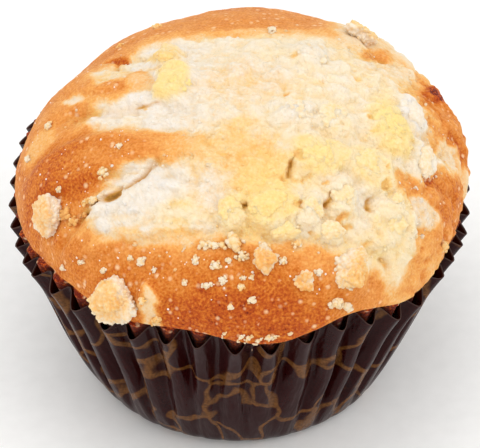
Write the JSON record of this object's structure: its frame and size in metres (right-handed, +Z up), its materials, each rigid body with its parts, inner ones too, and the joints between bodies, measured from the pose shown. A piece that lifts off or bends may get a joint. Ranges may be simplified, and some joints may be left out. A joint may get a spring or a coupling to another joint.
{
  "type": "muffin in a paper case",
  "caption": "Crumb-topped muffin with a cracked, overhanging golden dome and loose streusel lumps, standing in a dark fluted paper baking case.",
  "frame": {"origin": "middle of the paper case's flat underside", "axes": "+Z up; the front, with the case's tall face and the browned side of the dome, faces -Y; +X to the right"},
  "size_m": [0.08, 0.0804, 0.0618],
  "materials": {
    "case": "dark brown greaseproof paper with a gold marbled print, satin",
    "cake": null,
    "streusel": null
  },
  "bodies": {
    "root": {"paper_case": "case", "muffin": "cake", "streusel_lump_01": "streusel", "streusel_lump_02": "streusel", "streusel_lump_03": "streusel", "streusel_lump_04": "streusel", "streusel_lump_05": "streusel", "streusel_lump_06": "streusel", "streusel_lump_07": "streusel", "streusel_lump_08": "streusel", "streusel_lump_09": "streusel", "streusel_lump_10": "streusel", "streusel_lump_11": "streusel", "streusel_lump_12": "streusel", "streusel_lump_13": "streusel", "streusel_lump_14": "streusel", "streusel_lump_15": "streusel", "streusel_lump_16": "streusel", "streusel_lump_17": "streusel", "streusel_lump_18": "streusel", "streusel_lump_19": "streusel", "streusel_lump_20": "streusel", "streusel_lump_21": "streusel", "streusel_lump_22": "streusel", "streusel_lump_23": "streusel"}
  },
  "joints": []
}
